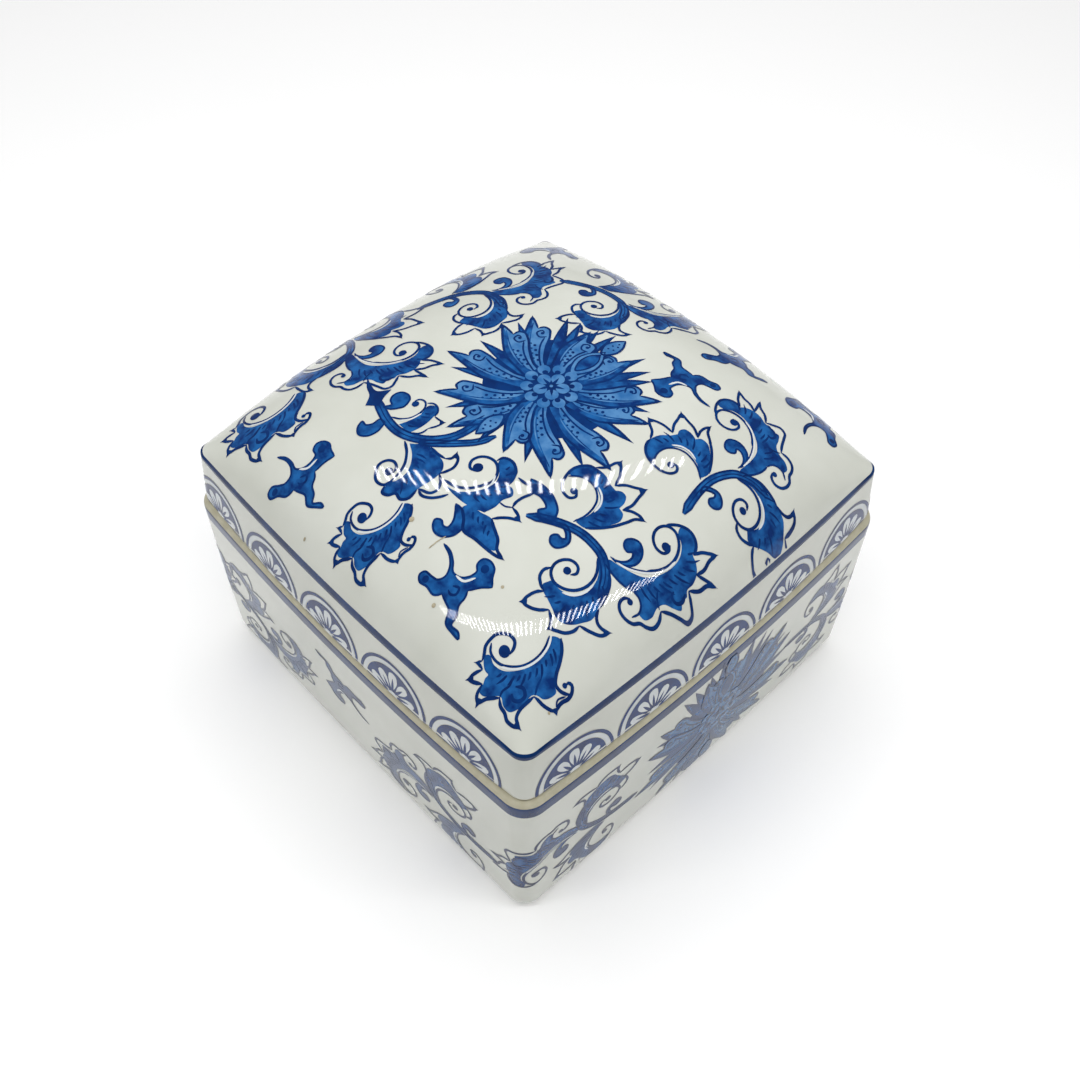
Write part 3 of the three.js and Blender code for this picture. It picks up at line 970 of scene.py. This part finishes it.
def dome_loop(half, corner, height, z, share):
    loop = outline_loop(half, BOW, corner, z)
    loop[:, :2] *= share
    loop[:, 2] += height * dome_height(loop[:, 0], loop[:, 1], half)
    return loop


def quarter(steps):
    return [(i / steps) * math.pi / 2 for i in range(steps + 1)]


def shell(name, body, bands, materials):
    """One closed skin from bands of loops; each band ends in the ink of its faces."""
    loops = [loop for band, _ in bands for loop in band]
    inks = [ink for band, ink in bands for _ in band]
    count = len(loops[0])
    points = np.vstack([[[0, 0, loops[0][:, 2].mean()]], *loops, [[0, 0, loops[-1][:, 2].max()]]])
    faces = []
    slots = []
    for ring_index in range(len(loops) - 1):
        here = 1 + ring_index * count
        for i in range(count):
            j = (i + 1) % count
            faces.append((here + i, here + j, here + count + j, here + count + i))
            slots.append(inks[ring_index + 1])
    last = len(points) - 1
    top = 1 + (len(loops) - 1) * count
    for i in range(count):
        j = (i + 1) % count
        faces.append((0, 1 + j, 1 + i))
        slots.append(inks[0])
        faces.append((last, top + i, top + j))
        slots.append(inks[-1])
    piece = mesh_object(name, body, points, faces, materials, slots)
    return piece


def foot_bands():
    """The recessed underside and the unglazed ring that the box stands on."""
    inside_foot = FOOT_HALF - FOOT_WIDTH
    edge = 0.5  # softened edges of the foot ring
    spans = (12, 30, 46, inside_foot - edge)
    underside = [outline_loop(half, HEEL_BOW, INNER_CORNER, FOOT_HEIGHT) for half in spans]
    foot = [
        outline_loop(inside_foot, HEEL_BOW, INNER_CORNER, FOOT_HEIGHT - edge),
        outline_loop(inside_foot, HEEL_BOW, INNER_CORNER, edge),
        outline_loop(inside_foot + edge, HEEL_BOW, INNER_CORNER, 0),
        outline_loop(FOOT_HALF - edge, HEEL_BOW, FOOT_CORNER, 0),
        outline_loop(FOOT_HALF, HEEL_BOW, FOOT_CORNER, edge),
    ]
    return [(underside, GLAZED), (foot, BARE_CLAY)]


def wall_bands():
    """The glazed wall from the heel up, its painted line round the shoulder, and the unglazed ledge."""
    heel = [outline_loop(FOOT_HALF, HEEL_BOW, FOOT_CORNER, FOOT_HEIGHT)]
    heel += [wall_loop(FOOT_HEIGHT + HEEL_ROUND * (1 - math.cos(a))) for a in quarter(6)]
    low, high = FOOT_HEIGHT + HEEL_ROUND, SHOULDER - SHOULDER_ROUND
    side = [wall_loop(z) for z in np.linspace(low, BASE_LINE_LOW, 26)[1:]]
    band = [wall_loop(z) for z in np.linspace(BASE_LINE_LOW, high, 4)[1:]]
    rolls = [high + SHOULDER_ROUND * math.sin(a) for a in quarter(8)]
    band += [wall_loop(z) for z in rolls if high < z < BASE_LINE_TOP] + [wall_loop(BASE_LINE_TOP)]
    ledge = [wall_loop(z) for z in rolls if z > BASE_LINE_TOP + 0.05]
    return [(heel + side, GLAZED), (band, COBALT), (ledge, BARE_CLAY)]


def rim_bands():
    """The upstanding rim: bare outside, glazed over its top and inside."""
    top = BASE_TOP
    inside = RIM_HALF - RIM_WALL
    rim = [outline_loop(RIM_HALF, BOW, RIM_CORNER, z) for z in (SHOULDER, top - LIP_ROUND)]
    for a in quarter(4)[1:]:
        inset = LIP_ROUND * (1 - math.cos(a))
        rim.append(outline_loop(RIM_HALF - inset, BOW, RIM_CORNER, top - LIP_ROUND * (1 - math.sin(a))))
    glazed_rim = []
    for a in quarter(4):
        drop = LIP_ROUND * (1 - math.cos(a))
        inset = RIM_WALL - LIP_ROUND * (1 - math.sin(a))
        glazed_rim.append(outline_loop(RIM_HALF - inset, BOW, INNER_CORNER, top - drop))
    glazed_rim.append(outline_loop(inside, BOW, INNER_CORNER, SHOULDER - RIM_ROOT))
    return [(rim, BARE_CLAY), (glazed_rim, GLAZED)]


def well_loops():
    """The inside, from the rim's root down and in to the middle of the floor."""
    well = [wall_loop(z, BASE_WALL) for z in np.linspace(SHOULDER - RIM_FLARE, FLOOR_TOP + FLOOR_ROUND, 12)]
    for a in quarter(7)[1:]:
        z = FLOOR_TOP + FLOOR_ROUND * (1 - math.sin(a))
        half, bow, _ = wall_sizes(z)
        heel_inset = roll_inset(FOOT_HEIGHT + HEEL_ROUND - z, HEEL_ROUND)
        inset = BASE_WALL + FLOOR_ROUND * (1 - math.cos(a)) - heel_inset
        well.append(outline_loop(half - inset, bow, INNER_CORNER, z))
    return well + [outline_loop(half, HEEL_BOW, INNER_CORNER, FLOOR_TOP) for half in (40, 26, 12)]


def make_base(materials):
    bands = foot_bands() + wall_bands() + rim_bands() + [(well_loops(), GLAZED)]
    return shell("box_base_porcelain", "base", bands, materials)


def dome_shares():
    """Shares of the dome's half width, from its edge in towards its crown."""
    return [math.cos(a) ** 0.75 for a in np.linspace(0, math.pi / 2, 26)[:-1]]


def ceiling_loops():
    """The lid's hollow underside, from its middle out and down to the lip."""
    inside = SKIRT_HALF - LID_WALL
    under = LID_EDGE - UNDER_EDGE
    rise = DOME_HEIGHT - CROWN_WALL
    shares = dome_shares()[:0:-1]
    heights = (LID_EDGE - 2 * UNDER_EDGE, LID_SEAT + 6, LID_SEAT + LIP_ROUND)
    loops = [dome_loop(inside, INNER_CORNER, rise, under, share) for share in shares]
    return loops + [outline_loop(inside, BOW, INNER_CORNER, z) for z in heights]


def lip_loops():
    """The skirt's rounded foot, from its inside to its outside."""
    lip = []
    for a in quarter(4)[1:]:
        inset = LID_WALL - LIP_ROUND * (1 - math.cos(a))
        z = LID_SEAT + LIP_ROUND * (1 - math.sin(a))
        lip.append(outline_loop(SKIRT_HALF - inset, BOW, INNER_CORNER, z))
    for a in quarter(4):
        inset = LIP_ROUND * (1 - math.sin(a))
        z = LID_SEAT + LIP_ROUND * (1 - math.cos(a))
        lip.append(outline_loop(SKIRT_HALF - inset, SKIRT_BOW, SKIRT_CORNER - inset, z))
    return lip


def cover_bands():
    """The outside above the lip: the skirt, the painted line on the edge, and the dome."""
    def skirt_loop(z):
        return outline_loop(*skirt_sizes(z), z)

    def outer_dome_loop(share):
        return dome_loop(LID_HALF, LID_CORNER, DOME_HEIGHT, LID_EDGE, share)

    heights = np.linspace(LID_SEAT + LIP_ROUND, LID_EDGE - EDGE_LINE_SKIRT, 9)[1:]
    skirt = [skirt_loop(z) for z in heights]
    line = [skirt_loop(z) for z in (LID_EDGE - 0.2, LID_EDGE)]
    line += [outer_dome_loop(share) for share in (0.999, 0.997, EDGE_LINE_DOME)]
    dome = [outer_dome_loop(share) for share in dome_shares() if share < EDGE_LINE_DOME - 0.001]
    return [(skirt, GLAZED), (line, COBALT), (dome, GLAZED)]


def make_lid(materials):
    bands = [(ceiling_loops(), GLAZED), (lip_loops(), BARE_CLAY)] + cover_bands()
    return shell("lid_porcelain", "lid_body", bands, materials)


# --- Materials ----------------------------------------------------------------


def linear(red, green, blue):
    """An 8-bit screen colour as linear values."""
    shares = [value / 255 for value in (red, green, blue)]
    return tuple(((s + 0.055) / 1.055) ** 2.4 if s > 0.04 else s / 12.92 for s in shares) + (1,)


def material(name, roughness):
    made = bpy.data.materials.new(name)
    made.use_nodes = True
    shader = made.node_tree.nodes["Principled BSDF"]
    shader.inputs["Roughness"].default_value = roughness
    shader.inputs["IOR"].default_value = 1.5
    shader.inputs["Specular IOR Level"].default_value = 0.3
    return made, shader


def node(tree, kind, **values):
    made = tree.nodes.new(kind)
    for key, value in values.items():
        made.inputs[key].default_value = value
    return made


def noise(tree, scale, detail):
    place = tree.nodes.new("ShaderNodeTexCoord")
    made = node(tree, "ShaderNodeTexNoise", Scale=scale, Detail=detail)
    tree.links.new(place.outputs["Object"], made.inputs["Vector"])
    return made


def two_tone(made, shader, first, second, scale):
    """Base colour that drifts between two colours."""
    tree = made.node_tree
    pattern = noise(tree, scale, 3.0)
    ramp = tree.nodes.new("ShaderNodeValToRGB")
    ramp.color_ramp.elements[0].position = 0.35
    ramp.color_ramp.elements[0].color = linear(*first)
    ramp.color_ramp.elements[1].position = 0.65
    ramp.color_ramp.elements[1].color = linear(*second)
    tree.links.new(pattern.outputs["Fac"], ramp.inputs["Fac"])
    tree.links.new(ramp.outputs["Color"], shader.inputs["Base Color"])


def ripple(made, shader, scale, distance):
    """The slow unevenness of a thick glaze."""
    tree = made.node_tree
    pattern = noise(tree, scale, 2.0)
    bump = node(tree, "ShaderNodeBump", Strength=1.0, Distance=distance)
    tree.links.new(pattern.outputs["Fac"], bump.inputs["Height"])
    tree.links.new(bump.outputs["Normal"], shader.inputs["Normal"])


GLAZE_ROUGHNESS = 0.04
GLAZE_RIPPLE = (110.0, 0.00003)  # scale of the unevenness, and its depth in metres


def glaze_material():
    made, shader = material("porcelain_glaze", GLAZE_ROUGHNESS)
    two_tone(made, shader, (198, 200, 191), (205, 207, 199), 45.0)
    ripple(made, shader, *GLAZE_RIPPLE)
    return made


def clay_material():
    made, shader = material("bare_clay", 0.75)
    two_tone(made, shader, (178, 173, 150), (187, 183, 162), 420.0)
    ripple(made, shader, 2500.0, 0.00003)
    return made


def cobalt_band_material():
    made, shader = material("cobalt_band", GLAZE_ROUGHNESS)
    two_tone(made, shader, (0, 34, 80), (2, 48, 100), 160.0)
    ripple(made, shader, *GLAZE_RIPPLE)
    return made


def paint_materials(body, ink_depth_and_shade):
    """The painter's inks, all under the same glaze; a lower strength is a darker blue, which on the base's
    walls is partly painted shade.
    """
    inks = {}
    for name, first, second, scale in (
        ("wash", (0, 41, 102), (26, 92, 157), 300.0),
        ("pale", (44, 100, 158), (80, 130, 180), 260.0),
        ("deep", (0, 34, 88), (0, 48, 108), 240.0),
        ("bare", (198, 204, 208), (207, 211, 211), 200.0),
        ("speck", (150, 140, 116), (176, 168, 146), 900.0),
    ):
        made, shader = material(f"{body}_paint_{name}", GLAZE_ROUGHNESS)
        shade = 1 if name in ("bare", "speck") else ink_depth_and_shade
        first, second = (tuple(shade * value for value in colour) for colour in (first, second))
        two_tone(made, shader, first, second, scale)
        ripple(made, shader, *GLAZE_RIPPLE)
        inks[name] = made
    return inks


# --- Stage --------------------------------------------------------------------

CAMERA_AZIMUTH = 46.257
CAMERA_HEIGHT_ANGLE = 51.797
CAMERA_ROLL = 0.587
CAMERA_DISTANCE = 350.12
CAMERA_SLIDE = (0.97, -21.46)
LENS = 43.76
SENSOR = 36.0


def add_camera():
    """The camera looks towards the middle of the lid's edge plane, slid a little in its own picture plane."""
    azimuth = math.radians(CAMERA_AZIMUTH)
    rise = math.radians(CAMERA_HEIGHT_ANGLE)
    back = Vector((math.sin(azimuth) * math.cos(rise), -math.cos(azimuth) * math.cos(rise), math.sin(rise)))
    right = Vector((0, 0, 1)).cross(back).normalized()
    up = back.cross(right)
    roll = math.radians(CAMERA_ROLL)
    right, up = (
        right * math.cos(roll) + up * math.sin(roll),
        up * math.cos(roll) - right * math.sin(roll),
    )
    target = Vector((0, 0, LID_EDGE))
    place = target + back * CAMERA_DISTANCE + right * CAMERA_SLIDE[0] + up * CAMERA_SLIDE[1]
    data = bpy.data.cameras.new("camera")
    data.lens = LENS
    data.sensor_width = SENSOR
    data.clip_start = 0.01
    camera = bpy.data.objects.new("camera", data)
    turn = Matrix((right, up, back)).transposed().to_4x4()
    camera.matrix_world = Matrix.Translation(place * MM) @ turn
    bpy.context.scene.collection.objects.link(camera)
    bpy.context.scene.camera = camera


FLOOR_REACH = 4.0
FLOOR_GLOW = 0.06  # lifts the far floor towards white


def add_floor():
    size = FLOOR_REACH
    mesh = bpy.data.meshes.new("floor")
    corners = [(-size, -size, 0), (size, -size, 0), (size, size, 0), (-size, size, 0)]
    mesh.from_pydata(corners, [], [(0, 1, 2, 3)])
    made, shader = material("pale_floor", 0.6)
    shader.inputs["Base Color"].default_value = (0.95, 0.95, 0.95, 1)
    shader.inputs["Emission Color"].default_value = (1, 1, 1, 1)
    shader.inputs["Emission Strength"].default_value = FLOOR_GLOW
    shader.inputs["Specular IOR Level"].default_value = 0.1
    mesh.materials.append(made)
    floor = bpy.data.objects.new("floor", mesh)
    bpy.context.scene.collection.objects.link(floor)


def area_light(name, place, turn, size, power):
    """A lamp that shines straight down, turned about the vertical and hidden from the camera."""
    data = bpy.data.lights.new(name, "AREA")
    data.shape = "RECTANGLE"
    data.size, data.size_y = size
    data.energy = power
    light = bpy.data.objects.new(name, data)
    light.location = place
    light.rotation_euler = (0, 0, turn)
    light.visible_camera = False
    bpy.context.scene.collection.objects.link(light)
    return light


# The lamps, in metres and watts.
STRIP_HEIGHT = 0.5
STRIP_TURN = 50.3
DIODE_PITCH = 0.02
DIODE_SIZE = (0.006, 0.03)
DIODE_POWER = 0.024
# Each strip's distance from the box's middle line, its first place along it and its number of diodes.
STRIPS = [(-0.158, -0.3, 29), (0.165, -0.43, 45)]


def add_strips():
    """Two straight rows of small lamps overhead, mirrored in the glaze as two rows of dashes."""
    turn = math.radians(STRIP_TURN)
    for row, (aside, start, count) in enumerate(STRIPS):
        for i in range(count):
            along = start + DIODE_PITCH * i
            x = along * math.cos(turn) + aside * math.sin(turn)
            y = along * math.sin(turn) - aside * math.cos(turn)
            area_light(f"diode_{row}_{i}", (x, y, STRIP_HEIGHT), turn, DIODE_SIZE, DIODE_POWER)


WORLD_LIGHT = 0.22
BACKDROP_LIGHT = 0.6  # added where the camera sees the surround itself
OVERHEAD_HEIGHT = 1.6
OVERHEAD_SIZE = (4, 4)
OVERHEAD_POWER = 37


def add_lights():
    """A dim even surround behind a pale backdrop, a wide soft panel overhead, and the strips."""
    world = bpy.data.worlds.new("studio")
    world.use_nodes = True
    world.node_tree.nodes["Background"].inputs["Color"].default_value = (1, 1, 1, 1)
    tree = world.node_tree
    sight = tree.nodes.new("ShaderNodeLightPath")
    ink_depth_and_shade = tree.nodes.new("ShaderNodeMath")
    ink_depth_and_shade.operation = "MULTIPLY_ADD"
    ink_depth_and_shade.inputs[1].default_value = BACKDROP_LIGHT
    ink_depth_and_shade.inputs[2].default_value = WORLD_LIGHT
    tree.links.new(sight.outputs["Is Camera Ray"], ink_depth_and_shade.inputs[0])
    tree.links.new(ink_depth_and_shade.outputs[0], tree.nodes["Background"].inputs["Strength"])
    bpy.context.scene.world = world
    overhead = area_light("overhead", (0, 0, OVERHEAD_HEIGHT), 0, OVERHEAD_SIZE, OVERHEAD_POWER)
    overhead.visible_glossy = False
    add_strips()
    bpy.context.scene.view_settings.view_transform = "Standard"


# --- Assembly -----------------------------------------------------------------

def main():
    add_camera()
    add_floor()
    add_lights()
    shell_inks = [glaze_material(), clay_material(), cobalt_band_material()]
    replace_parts(make_base(shell_inks), "box_base")
    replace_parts(make_lid(shell_inks), "lid")
    # The base's inks are a darker copy of the lid's: partly a heavier blue, partly painted shade on its
    # walls.
    for body, paint, ink_depth_and_shade in (("lid_body", paint_lid, 1), ("base", paint_base, 0.86)):
        canvas = Canvas(body)
        paint(canvas)
        canvas.finish(paint_materials(body, ink_depth_and_shade))
    bpy.context.view_layer.update()


main()
